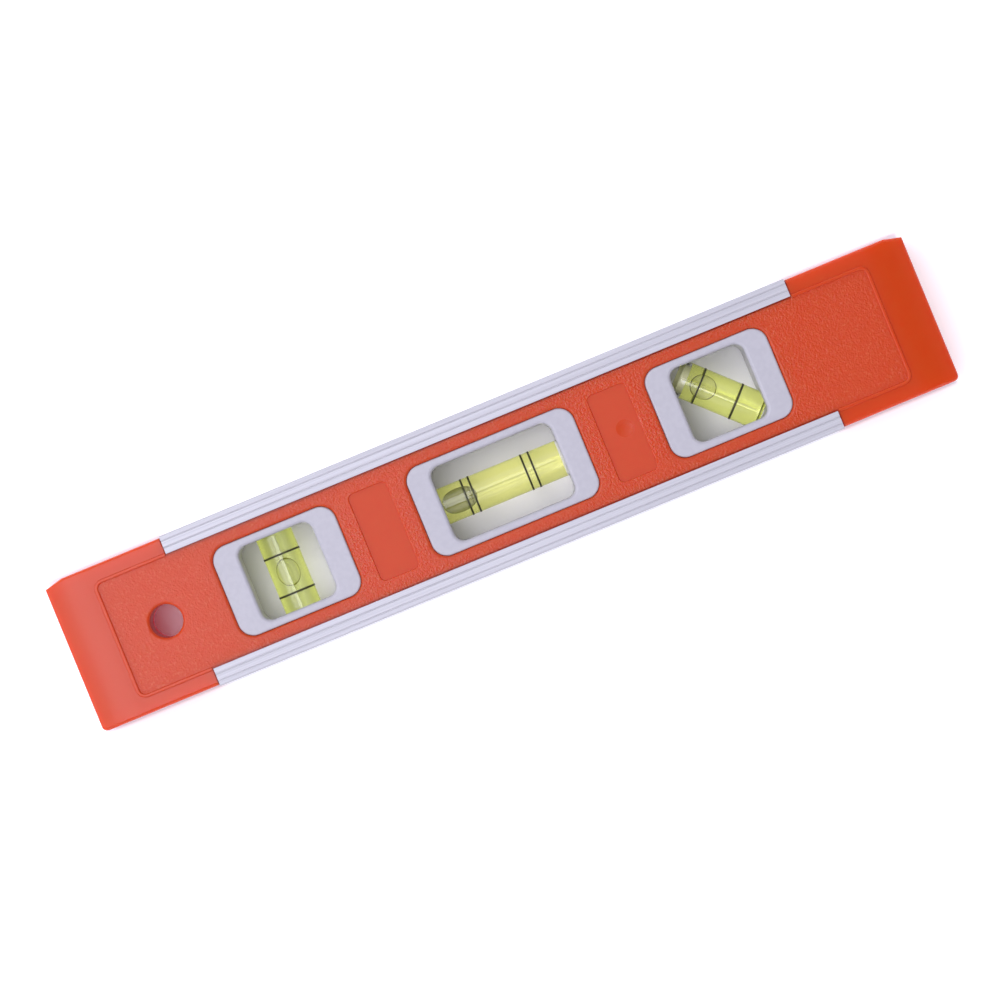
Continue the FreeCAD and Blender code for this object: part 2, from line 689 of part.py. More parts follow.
def all_pieces():
    """Every piece of the level by name."""
    pieces = {
        "body": body(),
        "rail_bottom": rail(vee=True),
        "rail_top": rail(vee=False).mirror(Vector(0, 0, 0), Y_AXIS),
    }
    for window in WINDOWS:
        name = window["name"]
        pieces[f"{name}_bezel_front"] = bezel_half(window, with_pegs=False)
        pieces[f"{name}_bezel_rear"] = flipped(bezel_half(window, with_pegs=True))
        pieces[f"{name}_vial_tube"] = vial_tube(window)
        pieces[f"{name}_vial_plug"] = vial_plug(window)
        pieces[f"{name}_liquid"] = liquid(window)
        pieces[f"{name}_bubble"] = placed(bubble_form(window, 0), window)
        for mark, along in window["marks"].items():
            pieces[f"{name}_mark_{mark}"] = mark_ring(window, along)
    return pieces


os.makedirs("parts", exist_ok=True)
for piece_name, piece in all_pieces().items():
    piece.exportStep(f"parts/{piece_name}.step")
    print(f"{piece_name}: {len(piece.Solids)} solid, {piece.Volume:.2f} cubic mm, valid {piece.isValid()}")
for window in WINDOWS:
    half_bubble = window["bubble"][0] / 2 + BUBBLE_FILM
    lowest = window["chamber_start"] + half_bubble - window["bubble_at"]
    highest = window["chamber_end"] - half_bubble - window["bubble_at"]
    print(f"{window['name']} bubble travels from {lowest:.3f} to {highest:.3f} mm")
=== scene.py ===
from math import cos, pi, radians, sin, sqrt

import bmesh
import bpy
from mathutils import Matrix, Vector


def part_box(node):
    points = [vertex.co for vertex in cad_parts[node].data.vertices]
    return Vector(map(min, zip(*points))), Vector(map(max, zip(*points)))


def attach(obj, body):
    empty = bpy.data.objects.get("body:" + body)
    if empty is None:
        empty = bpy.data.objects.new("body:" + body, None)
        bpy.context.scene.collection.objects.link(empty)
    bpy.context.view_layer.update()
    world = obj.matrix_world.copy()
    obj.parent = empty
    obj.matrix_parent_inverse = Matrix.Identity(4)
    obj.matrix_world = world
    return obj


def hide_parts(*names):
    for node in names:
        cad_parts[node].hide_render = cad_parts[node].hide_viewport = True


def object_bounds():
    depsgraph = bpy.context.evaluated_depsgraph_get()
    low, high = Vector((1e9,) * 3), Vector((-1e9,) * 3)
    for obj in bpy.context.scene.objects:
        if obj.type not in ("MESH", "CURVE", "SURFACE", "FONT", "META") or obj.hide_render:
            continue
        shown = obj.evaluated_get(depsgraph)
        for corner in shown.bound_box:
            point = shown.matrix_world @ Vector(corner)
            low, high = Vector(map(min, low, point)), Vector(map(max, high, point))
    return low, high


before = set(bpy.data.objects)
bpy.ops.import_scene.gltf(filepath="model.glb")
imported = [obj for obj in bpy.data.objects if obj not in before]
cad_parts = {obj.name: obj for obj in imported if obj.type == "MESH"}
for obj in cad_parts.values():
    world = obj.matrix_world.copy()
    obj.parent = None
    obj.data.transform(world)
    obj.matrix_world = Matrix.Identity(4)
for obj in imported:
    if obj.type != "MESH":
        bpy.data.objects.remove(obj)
cad_low, cad_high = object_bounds()

# View
# A long lens looks straight down on the level, which lies turned on the floor by a small angle.
# The middle of the picture falls just left of and below the level's own middle.
MM = 0.001
VIEW_TURN = radians(-22.43)
VIEW_X = -2.07 * MM
VIEW_Y = -3.83 * MM
VIEW_DISTANCE = 1.3
VIEW_WIDTH = 246.9 * MM
SENSOR = 36.0
NEAR_CLIP = 0.05

scene = bpy.context.scene
camera_data = bpy.data.cameras.new("camera")
camera_data.sensor_width = SENSOR
camera_data.lens = SENSOR * VIEW_DISTANCE / VIEW_WIDTH
camera_data.clip_start = NEAR_CLIP
camera = bpy.data.objects.new("camera", camera_data)
camera.location = (VIEW_X, VIEW_Y, cad_high.z + VIEW_DISTANCE)
camera.rotation_euler = (0, 0, VIEW_TURN)
scene.collection.objects.link(camera)
scene.camera = camera
scene.view_settings.view_transform = "Standard"

# Light
# A pale tent glows all round, less so to the right, and is dark straight overhead, where soft boxes
# hang: a wide one far to the left, a bright one beside it, and a dim pair over the middle.
LAMP_HEIGHT = 1.6
LAMP_TINT = (0.97, 0.955, 1.12)
TENT_STRENGTH = 0.95
TENT_EDGE = 0.85
TENT_TOP = 0.945
OVERHEAD_STRENGTH = 0.0
TENT_DIM_START = 0.05
TENT_DIM_END = 0.40
TENT_DIM = 0.60

tent = bpy.data.worlds.new("tent")
tent.use_nodes = True
tree = tent.node_tree
direction = tree.nodes.new("ShaderNodeSeparateXYZ")
tree.links.new(tree.nodes.new("ShaderNodeTexCoord").outputs["Generated"], direction.inputs["Vector"])
fade = tree.nodes.new("ShaderNodeMapRange")
fade.interpolation_type = "SMOOTHSTEP"
fade.inputs["From Min"].default_value = TENT_EDGE
fade.inputs["From Max"].default_value = TENT_TOP
fade.inputs["To Min"].default_value = TENT_STRENGTH
fade.inputs["To Max"].default_value = OVERHEAD_STRENGTH
tree.links.new(direction.outputs["Z"], fade.inputs["Value"])
dim = tree.nodes.new("ShaderNodeMapRange")
dim.interpolation_type = "SMOOTHSTEP"
dim.inputs["From Min"].default_value = TENT_DIM_START
dim.inputs["From Max"].default_value = TENT_DIM_END
dim.inputs["To Min"].default_value = 1.0
dim.inputs["To Max"].default_value = TENT_DIM
tree.links.new(direction.outputs["X"], dim.inputs["Value"])
glow = tree.nodes.new("ShaderNodeMath")
glow.operation = "MULTIPLY"
tree.links.new(fade.outputs["Result"], glow.inputs[0])
tree.links.new(dim.outputs["Result"], glow.inputs[1])
tree.links.new(glow.outputs["Value"], tree.nodes["Background"].inputs["Strength"])
tree.nodes["Background"].inputs["Color"].default_value = (*LAMP_TINT, 1.0)
scene.world = tent


def soft_box(name, low, high, radiance):
    """Rectangular lamp that faces straight down, between two corners in the plane of the lamps."""
    data = bpy.data.lights.new(name, "AREA")
    data.shape = "RECTANGLE"
    data.color = LAMP_TINT
    data.size = high[0] - low[0]
    data.size_y = high[1] - low[1]
    data.energy = radiance * pi * data.size * data.size_y
    lamp = bpy.data.objects.new(name, data)
    lamp.location = ((low[0] + high[0]) / 2, (low[1] + high[1]) / 2, LAMP_HEIGHT)
    scene.collection.objects.link(lamp)


soft_box("left_box", low=(-1.9, -0.35), high=(-0.68, 1.1), radiance=1.25)
soft_box("near_box", low=(-0.68, -0.44), high=(-0.09, 0.92), radiance=3.9)
soft_box("middle_box_far", low=(-0.09, 0.09), high=(0.17, 0.70), radiance=2.1)
soft_box("middle_box_near", low=(-0.09, -0.60), high=(0.17, -0.12), radiance=1.3)

# Body
# One injection moulding in orange plastic. Its panels have a fine spark-eroded grain, with pale flecks
# on the grain's tops that are painted highlights, while the end margins, lips and label recesses are
# smooth. The lower part of the hang hole's wall glows red: painted light, standing in for light that
# comes through the plastic and bounces about in the hole.
ORANGE = (0.625, 0.0625, 0.0085, 1.0)
ORANGE_FLECK_HIGHLIGHT = (0.665, 0.102, 0.026, 1.0)
MIDDLE_Z = (cad_low.z + cad_high.z) / 2
PANEL_HEIGHT = 9.35 * MM
PANEL_SPAN = 0.06 * MM
PANEL_END = 103.2 * MM
GRAIN_CELL = 0.40 * MM
GRAIN_DEPTH = 0.085 * MM
CLOUD_SIZE = 9 * MM
PATCH_SIZE = 2.2 * MM
CRUMPLE_SHARE = 0.6
CELL_SHARE = 0.6
BODY_ROUGHNESS = 0.22
BODY_GLOSS_SPREAD = 0.04
PANEL_DULLER = 0.03
RECESS_DULLER = 0.20
BODY_SPECULAR = 0.34
LIGHT_IN_PLASTIC = 0.5
LIGHT_REACH = 8 * MM
LIGHT_REACH_BY_COLOUR = (1.0, 0.12, 0.08)
SHARP_ANGLE = radians(32)
FLAT_ANGLE = radians(0.05)
WELD_GAP = 0.001 * MM
FLAT_FACE_WEIGHT = 80
MARGIN_HEIGHT = 9.5 * MM
TAPER_RUN = 10.4 * MM
TAPER_DROP = 1.1 * MM
TAPER_STEPS = 16
TAPER_SNAP = 0.05 * MM
RECESS_HEIGHT = 9.0 * MM
HOLE_X = -89.65 * MM
HOLE_RADIUS = 4.3 * MM
HOLE_LIT_HEIGHT = 5.0 * MM
HOLE_FADE = 1.0 * MM
HOLE_PAINTED_GLOW = (0.17, 0.004, 0.022, 1.0)
NO_GLOW = (0.0, 0.0, 0.0, 1.0)
DIMPLE_AT = (33.2 * MM, 0.8 * MM)
DIMPLE_RADIUS = 3.05 * MM
DIMPLE_DEPTH = 0.25 * MM
DIMPLE_FILL = 0.5


def even_tapers(shape):
    """Cut the long arcs at the body's tips into even strips, with each row on the true arc."""
    start = cad_high.x - TAPER_RUN
    radius = (TAPER_RUN ** 2 + TAPER_DROP ** 2) / (2 * TAPER_DROP)
    for step in range(TAPER_STEPS):
        row_x = start + TAPER_RUN * step / TAPER_STEPS
        for painted_side_share in (-1, 1):
            bmesh.ops.bisect_plane(
                shape,
                geom=shape.verts[:] + shape.edges[:] + shape.faces[:],
                dist=TAPER_SNAP / 10,
                plane_co=(painted_side_share * row_x, 0, 0),
                plane_no=(1, 0, 0),
            )
    for vert in shape.verts:
        past = abs(vert.co.x) - start
        if past > 0:
            arc_height = MARGIN_HEIGHT - radius + sqrt(radius ** 2 - past ** 2)
            height = vert.co.z - MIDDLE_Z
            if abs(abs(height) - arc_height) < TAPER_SNAP:
                vert.co.z = MIDDLE_Z + (arc_height if height > 0 else -arc_height)


def soften_dimple(shape):
    """Make the gate dimple in the right label recess a shallow one."""
    for vert in shape.verts:
        depth = MIDDLE_Z + RECESS_HEIGHT - vert.co.z
        if 0 < depth < DIMPLE_DEPTH * 2 and (vert.co.xy - Vector(DIMPLE_AT)).length < DIMPLE_RADIUS:
            vert.co.z += depth * DIMPLE_FILL


def shape_body(shape):
    """What the moulded body gets beyond its solid."""
    even_tapers(shape)
    soften_dimple(shape)


def smooth_copy(node, name, shaping=None):
    """Copy of a CAD node with its loose triangles joined, shaded smooth over its curves."""
    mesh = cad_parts[node].data.copy()
    mesh.name = name
    if "custom_normal" in mesh.attributes:
        mesh.attributes.remove(mesh.attributes["custom_normal"])
    joined = bmesh.new()
    joined.from_mesh(mesh)
    bmesh.ops.remove_doubles(joined, verts=joined.verts, dist=WELD_GAP)
    bmesh.ops.dissolve_limit(
        joined,
        angle_limit=FLAT_ANGLE,
        use_dissolve_boundaries=False,
        verts=joined.verts,
        edges=joined.edges,
    )
    if shaping:
        shaping(joined)
    for face in joined.faces:
        face.smooth = True
    joined.to_mesh(mesh)
    joined.free()
    mesh.set_sharp_from_angle(angle=SHARP_ANGLE)
    mesh.materials.clear()
    piece = bpy.data.objects.new(name, mesh)
    scene.collection.objects.link(piece)
    even = piece.modifiers.new("even_shading", "WEIGHTED_NORMAL")
    even.keep_sharp = True
    even.weight = FLAT_FACE_WEIGHT
    return piece


def math_node(tree, operation, first, second=None):
    """Math node whose inputs are sockets or numbers, and its output socket."""
    node = tree.nodes.new("ShaderNodeMath")
    node.operation = operation
    for index, value in enumerate((first, second)):
        if isinstance(value, (int, float)):
            node.inputs[index].default_value = value
        elif value is not None:
            tree.links.new(value, node.inputs[index])
    return node.outputs["Value"]


def place_socket(tree):
    """Where a point lies in the object, as a socket."""
    return tree.nodes.new("ShaderNodeTexCoord").outputs["Object"]


def axes_sockets(tree):
    """Where a point lies in the object, as a socket to each axis."""
    node = tree.nodes.new("ShaderNodeSeparateXYZ")
    tree.links.new(place_socket(tree), node.inputs["Vector"])
    return node.outputs


def noise_node(tree, place, scale, detail):
    """Noise texture on a place socket, and its value socket."""
    node = tree.nodes.new("ShaderNodeTexNoise")
    node.inputs["Detail"].default_value = detail
    tree.links.new(place, node.inputs["Vector"])
    if isinstance(scale, (int, float)):
        node.inputs["Scale"].default_value = scale
    else:
        tree.links.new(scale, node.inputs["Scale"])
    return node.outputs["Fac"]


def range_node(tree, value, low, high, to_low=0.0, to_high=1.0):
    """Smooth step of a value socket from one range to another."""
    node = tree.nodes.new("ShaderNodeMapRange")
    node.interpolation_type = "SMOOTHSTEP"
    tree.links.new(value, node.inputs["Value"])
    node.inputs["From Min"].default_value = low
    node.inputs["From Max"].default_value = high
    node.inputs["To Min"].default_value = to_low
    node.inputs["To Max"].default_value = to_high
    return node.outputs["Result"]


def tint_node(tree, share, first, second):
    """Blend of two colours by a share socket."""
    node = tree.nodes.new("ShaderNodeMix")
    node.data_type = "RGBA"
    node.inputs["A"].default_value = first
    node.inputs["B"].default_value = second
    tree.links.new(share, node.inputs["Factor"])
    return node.outputs["Result"]


def relief_node(tree, shader, height, distance, strength=1.0):
    """Fine relief under a shader's normal."""
    node = tree.nodes.new("ShaderNodeBump")
    node.inputs["Distance"].default_value = distance
    if isinstance(strength, (int, float)):
        node.inputs["Strength"].default_value = strength
    else:
        tree.links.new(strength, node.inputs["Strength"])
    tree.links.new(height, node.inputs["Height"])
    tree.links.new(node.outputs["Normal"], shader.inputs["Normal"])


def new_material(name):
    """Material with its node tree and its Principled shader."""
    material = bpy.data.materials.new(name)
    material.use_nodes = True
    return material, material.node_tree, material.node_tree.nodes["Principled BSDF"]


# Skin of a moulding: relief of small cells, pale flecks on the cells' tops that are painted highlights,
# and a cloudy gloss
skin = bpy.data.node_groups.new("moulded_skin", "ShaderNodeTree")
for label, default in (("Cell Size", 0.5 * MM), ("Gloss Spread", 0.1), ("Roughness", 0.4)):
    skin.interface.new_socket(label, in_out="INPUT", socket_type="NodeSocketFloat").default_value = default
for label in ("Height", "Fleck", "Roughness"):
    skin.interface.new_socket(label, in_out="OUTPUT", socket_type="NodeSocketFloat")
skin_in = skin.nodes.new("NodeGroupInput").outputs
skin_out = skin.nodes.new("NodeGroupOutput").inputs
skin_place = place_socket(skin)
cell_scale = math_node(skin, "DIVIDE", 1.0, skin_in["Cell Size"])
cells = skin.nodes.new("ShaderNodeTexVoronoi")
cells.feature = "SMOOTH_F1"
skin.links.new(skin_place, cells.inputs["Vector"])
skin.links.new(cell_scale, cells.inputs["Scale"])
crumple_scale = math_node(skin, "MULTIPLY", cell_scale, CRUMPLE_SHARE)
crumple = noise_node(skin, skin_place, crumple_scale, detail=3.0)
cell_height = math_node(skin, "MULTIPLY", cells.outputs["Distance"], CELL_SHARE)
skin.links.new(math_node(skin, "ADD", cell_height, crumple), skin_out["Height"])
patches = noise_node(skin, skin_place, 1 / PATCH_SIZE, detail=2.0)
cell_tops = range_node(skin, crumple, low=0.48, high=0.70)
pale_patches = range_node(skin, patches, low=0.35, high=0.65)
skin.links.new(math_node(skin, "MULTIPLY", cell_tops, pale_patches), skin_out["Fleck"])
cloud = noise_node(skin, skin_place, 1 / CLOUD_SIZE, detail=2.0)
off_mean = math_node(skin, "SUBTRACT", cloud, 0.5)
spread = math_node(skin, "MULTIPLY", off_mean, skin_in["Gloss Spread"])
skin.links.new(math_node(skin, "ADD", skin_in["Roughness"], spread), skin_out["Roughness"])


def skin_node(tree, cell_size, gloss_spread, roughness):
    """The moulded skin placed in a material, and its outputs."""
    node = tree.nodes.new("ShaderNodeGroup")
    node.node_tree = skin
    node.inputs["Cell Size"].default_value = cell_size
    node.inputs["Gloss Spread"].default_value = gloss_spread
    node.inputs["Roughness"].default_value = roughness
    return node.outputs


orange, tree, shader = new_material("orange_plastic")
grain = skin_node(tree, GRAIN_CELL, BODY_GLOSS_SPREAD, BODY_ROUGHNESS)
axes = axes_sockets(tree)
height = math_node(tree, "ABSOLUTE", math_node(tree, "SUBTRACT", axes["Z"], MIDDLE_Z))
from_middle = math_node(tree, "ABSOLUTE", axes["X"])
inside = range_node(tree, from_middle, PANEL_END, PANEL_END + PANEL_SPAN, 1.0, 0.0)
floors = []
for floor_height in (PANEL_HEIGHT, RECESS_HEIGHT):
    off_floor = math_node(tree, "ABSOLUTE", math_node(tree, "SUBTRACT", height, floor_height))
    at_height = range_node(tree, off_floor, PANEL_SPAN / 2, PANEL_SPAN, 1.0, 0.0)
    floors.append(math_node(tree, "MULTIPLY", at_height, inside))
on_panel, in_recess = floors
# Lighter orange on the grain's tops across the panel: painted highlights.
fleck_highlights = math_node(tree, "MULTIPLY", grain["Fleck"], on_panel)
tree.links.new(tint_node(tree, fleck_highlights, ORANGE, ORANGE_FLECK_HIGHLIGHT), shader.inputs["Base Color"])
panel_duller = math_node(tree, "MULTIPLY", on_panel, PANEL_DULLER)
recess_duller = math_node(tree, "MULTIPLY", in_recess, RECESS_DULLER)
duller = math_node(tree, "ADD", panel_duller, recess_duller)
tree.links.new(math_node(tree, "ADD", grain["Roughness"], duller), shader.inputs["Roughness"])
shader.inputs["Specular IOR Level"].default_value = BODY_SPECULAR
shader.inputs["Subsurface Weight"].default_value = LIGHT_IN_PLASTIC
shader.inputs["Subsurface Radius"].default_value = LIGHT_REACH_BY_COLOUR
shader.inputs["Subsurface Scale"].default_value = LIGHT_REACH
relief_node(tree, shader, grain["Height"], GRAIN_DEPTH, on_panel)
# Red glow low in the hang hole: painted light for light passed through the plastic and bounced in the
# hole.
along_squared = math_node(tree, "POWER", math_node(tree, "SUBTRACT", axes["X"], HOLE_X), 2.0)
across_squared = math_node(tree, "POWER", axes["Y"], 2.0)
from_axis = math_node(tree, "POWER", math_node(tree, "ADD", along_squared, across_squared), 0.5)
near_axis = range_node(tree, from_axis, HOLE_RADIUS, HOLE_RADIUS + HOLE_FADE, 1.0, 0.0)
low_down = range_node(tree, axes["Z"], HOLE_LIT_HEIGHT, HOLE_LIT_HEIGHT + HOLE_FADE, 1.0, 0.0)
painted_hole_glow_share = math_node(tree, "MULTIPLY", near_axis, low_down)
tree.links.new(tint_node(tree, painted_hole_glow_share, NO_GLOW, HOLE_PAINTED_GLOW), shader.inputs["Emission Color"])
shader.inputs["Emission Strength"].default_value = 1.0

body = smooth_copy("body", "moulded_body", shape_body)
body.data.materials.append(orange)
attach(body, "frame")
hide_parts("body")

# Rails
# Two aluminium extrusions with a satin silver finish, pressed over the long edges of the body.
# Fine lines from the die run along them.
SILVER = (0.60, 0.60, 0.61, 1.0)
SILVER_LINE = (0.53, 0.53, 0.545, 1.0)
DIE_LINE = 0.12 * MM
DIE_LINE_LENGTH = 60 * MM
DIE_LINE_DEPTH = 0.004 * MM
SILVER_METALLIC = 0.3

silver, tree, shader = new_material("satin_aluminium")
stretch = tree.nodes.new("ShaderNodeMapping")
stretch.inputs["Scale"].default_value = (1 / DIE_LINE_LENGTH, 1 / DIE_LINE, 1 / DIE_LINE)
tree.links.new(place_socket(tree), stretch.inputs["Vector"])
lines = noise_node(tree, stretch.outputs["Vector"], 1.0, detail=4.0)
line_share = range_node(tree, lines, low=0.35, high=0.65)
tree.links.new(tint_node(tree, line_share, SILVER, SILVER_LINE), shader.inputs["Base Color"])
roughness = range_node(tree, lines, low=0.3, high=0.7, to_low=0.40, to_high=0.52)
tree.links.new(roughness, shader.inputs["Roughness"])
shader.inputs["Metallic"].default_value = SILVER_METALLIC
relief_node(tree, shader, lines, DIE_LINE_DEPTH)

for node in ("rail_top", "rail_bottom"):
    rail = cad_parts[node]
    rail.data.materials.clear()
    rail.data.materials.append(silver)

# Window frames
# White moulded frames, a front and a rear one to each window, which clamp the vial between them.
# Their faces are satin, and the edge round each opening is softly rolled.
FRAME_WHITE = (0.524, 0.518, 0.536, 1.0)
FRAME_SHADE = (0.500, 0.494, 0.514, 1.0)
MOTTLE_SIZE = 1.3 * MM
FRAME_GRAIN_DEPTH = 0.006 * MM
WINDOWS = ("plumb", "level", "angle")

white, tree, shader = new_material("white_plastic")
faint = skin_node(tree, cell_size=0.8 * MM, gloss_spread=0.12, roughness=0.38)
mottle = noise_node(tree, place_socket(tree), 1 / MOTTLE_SIZE, detail=3.0)
mottle_share = range_node(tree, mottle, low=0.35, high=0.65)
tree.links.new(tint_node(tree, mottle_share, FRAME_WHITE, FRAME_SHADE), shader.inputs["Base Color"])
tree.links.new(faint["Roughness"], shader.inputs["Roughness"])
relief_node(tree, shader, faint["Height"], FRAME_GRAIN_DEPTH, strength=0.4)

for window in WINDOWS:
    for half in ("front", "rear"):
        node = f"{window}_bezel_{half}"
        piece = smooth_copy(node, f"{window}_frame_{half}")
        piece.data.materials.append(white)
        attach(piece, "frame")
        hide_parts(node)

# Vial tubes
# Clear acrylic tubes with a barrel-shaped bore, closed and rounded at one end.
# Each is turned about its own axis and lies in the seats of its window frames.
ROUND_STEPS = 128
ARC_STEPS = 8
BARREL_STEPS = 24
TUBE_RADIUS = 4.7 * MM
BORE_RADIUS = 3.75 * MM
BORE_CROWN = 0.12 * MM
CLOSED_END_RADIUS = 1.8 * MM
MOUTH_RADIUS = 0.6 * MM
CLEAR_IOR = 1.49
ACRYLIC = (0.985, 0.99, 0.975, 1.0)
ACRYLIC_SHADE = (0.98, 0.98, 0.98, 1.0)
ACRYLIC_ROUGHNESS = 0.02
TURNED_WELD_GAP = 0.0005 * MM
VIAL_TURN = {"plumb": radians(90), "level": 0.0, "angle": radians(-45)}


def vial_place(window):
    """Matrix that lays a piece turned about X along the window's vial."""
    low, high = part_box(f"{window}_bezel_front")
    middle = Vector(((low.x + high.x) / 2, (low.y + high.y) / 2, MIDDLE_Z))
    return Matrix.Translation(middle) @ Matrix.Rotation(VIAL_TURN[window], 4, "Z")


def reach_along(window, node):
    """Where a CAD node starts and ends along the window's vial."""
    from_frame = vial_place(window).inverted()
    along = [(from_frame @ vert.co).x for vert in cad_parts[node].data.vertices]
    return min(along), max(along)


def turned(name, profile, window):
    """Closed piece turned from (along, radius) points that start and end on the axis."""
    shape = bmesh.new()
    corners = [shape.verts.new((along, 0, radius)) for along, radius in profile]
    edges = [shape.edges.new(pair) for pair in zip(corners, corners[1:])]
    bmesh.ops.spin(
        shape,
        geom=corners + edges,
        cent=(0, 0, 0),
        axis=(1, 0, 0),
        angle=2 * pi,
        steps=ROUND_STEPS,
        use_merge=True,
    )
    bmesh.ops.remove_doubles(shape, verts=shape.verts, dist=TURNED_WELD_GAP)
    bmesh.ops.recalc_face_normals(shape, faces=shape.faces)
    bmesh.ops.transform(shape, matrix=vial_place(window), verts=shape.verts)
    for face in shape.faces:
        face.smooth = True
    mesh = bpy.data.meshes.new(name)
    shape.to_mesh(mesh)
    shape.free()
    mesh.set_sharp_from_angle(angle=SHARP_ANGLE)
    piece = bpy.data.objects.new(name, mesh)
    scene.collection.objects.link(piece)
    return piece


def barrel(low, high, radius, crown):
    """Points along a barrel-shaped bore from low to high."""
    points = []
    for step in range(BARREL_STEPS + 1):
        share = step / BARREL_STEPS
        points.append((low + (high - low) * share, radius + crown * (1 - (2 * share - 1) ** 2)))
    return points


def shadow_tint(tree, surface, tint):
    """Let lamps shine through a clear piece, so that its shadow is only the tint."""
    path = tree.nodes.new("ShaderNodeLightPath")
    through = tree.nodes.new("ShaderNodeBsdfTransparent")
    through.inputs["Color"].default_value = tint
    mix = tree.nodes.new("ShaderNodeMixShader")
    tree.links.new(path.outputs["Is Shadow Ray"], mix.inputs["Fac"])
    tree.links.new(surface, mix.inputs[1])
    tree.links.new(through.outputs["BSDF"], mix.inputs[2])
    tree.links.new(mix.outputs["Shader"], tree.nodes["Material Output"].inputs["Surface"])


acrylic, tree, shader = new_material("clear_acrylic")
shader.inputs["Base Color"].default_value = ACRYLIC
shader.inputs["Roughness"].default_value = ACRYLIC_ROUGHNESS
shader.inputs["IOR"].default_value = CLEAR_IOR
shader.inputs["Transmission Weight"].default_value = 1.0
shadow_tint(tree, shader.outputs["BSDF"], ACRYLIC_SHADE)

for window in WINDOWS:
    mouth, end = reach_along(window, f"{window}_vial_tube")
    plug_end = reach_along(window, f"{window}_vial_plug")[1]
    chamber_end = reach_along(window, f"{window}_liquid")[1]
    profile = barrel(plug_end, chamber_end, BORE_RADIUS, BORE_CROWN)[::-1] + [(mouth, BORE_RADIUS)]
    turns = [pi / 2 * step / ARC_STEPS for step in range(ARC_STEPS + 1)]
    for turn in turns:
        along = mouth + MOUTH_RADIUS * (1 - cos(turn))
        profile.append((along, TUBE_RADIUS - MOUTH_RADIUS * (1 - sin(turn))))
    for turn in turns:
        along = end - CLOSED_END_RADIUS * (1 - sin(turn))
        profile.append((along, TUBE_RADIUS - CLOSED_END_RADIUS * (1 - cos(turn))))
    piece = turned(f"{window}_tube", [(chamber_end, 0)] + profile + [(end, 0)], window)
    piece.data.materials.append(acrylic)
    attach(piece, "frame")
    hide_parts(f"{window}_vial_tube")

# Vial plugs
# Acrylic plugs, matt from the mould, which close the vials' open ends. Each has a spigot glued into
# the bore and a tapered head that lies against the mouth.
PLUG_HEAD_LENGTH = 1.0 * MM
PLUG_HEAD_RADIUS = 4.35 * MM
PLUG_TIP_RADIUS = 3.2 * MM
PLUG_GAP = 0.03 * MM
FROSTED = (0.82, 0.82, 0.45, 1.0)
FROSTED_SHADE = (0.9, 0.9, 0.84, 1.0)
FROSTED_CLEARNESS = 0.6
FROST_DEPTH = 0.02 * MM

frosted, tree, shader = new_material("frosted_acrylic")
shader.inputs["Base Color"].default_value = FROSTED
shader.inputs["IOR"].default_value = CLEAR_IOR
shader.inputs["Transmission Weight"].default_value = FROSTED_CLEARNESS
faint = skin_node(tree, cell_size=0.5 * MM, gloss_spread=0.1, roughness=0.32)
tree.links.new(faint["Roughness"], shader.inputs["Roughness"])
relief_node(tree, shader, faint["Height"], FROST_DEPTH, strength=0.5)
shadow_tint(tree, shader.outputs["BSDF"], FROSTED_SHADE)

for window in WINDOWS:
    head, tip = reach_along(window, f"{window}_vial_plug")
    shoulder = head + PLUG_HEAD_LENGTH - PLUG_GAP
    profile = [
        (head, 0),
        (head, PLUG_TIP_RADIUS),
        (shoulder, PLUG_HEAD_RADIUS),
        (shoulder, BORE_RADIUS - PLUG_GAP),
        (tip, BORE_RADIUS - PLUG_GAP),
        (tip, 0),
    ]
    piece = turned(f"{window}_plug", profile, window)
    piece.data.materials.append(frosted)
    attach(piece, "frame")
    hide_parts(f"{window}_vial_plug")

# Liquids
# Yellow-green spirit that fills each bore. It glows a little, partly as the dyed spirit does in daylight
# and partly as painted light for light gathered in the vial, and its brighter glow towards the sides is
# painted light. The plumb spirit is a darker copy, painted shade for the lesser light in that vial.
# The spirit wets the tube, so there is no air between them, and the bubble lies inside it.
LIQUID_IOR = 1.38
WETTING = 0.01 * MM
SPIRIT_TONE_AND_SHADE = {"plumb": (0.69, 0.73, 0.33), "level": (0.84, 0.83, 0.35), "angle": (0.82, 0.85, 0.295)}
SPIRIT_GLOW_AND_PAINTED_LIGHT = {"plumb": 0.05, "level": 0.08, "angle": 0.06}
SPIRIT_PAINTED_SIDE_GLOW = {"plumb": 0.28, "level": 0.10, "angle": 0.07}
GLOW = (0.84, 0.90, 0.12)
GLOW_SIDE = 0.30
GLOW_FACE = 0.85
SPIRIT_SHADE = {"plumb": (0.87, 0.88, 0.76), "level": (0.94, 0.93, 0.92), "angle": (0.96, 0.96, 0.95)}

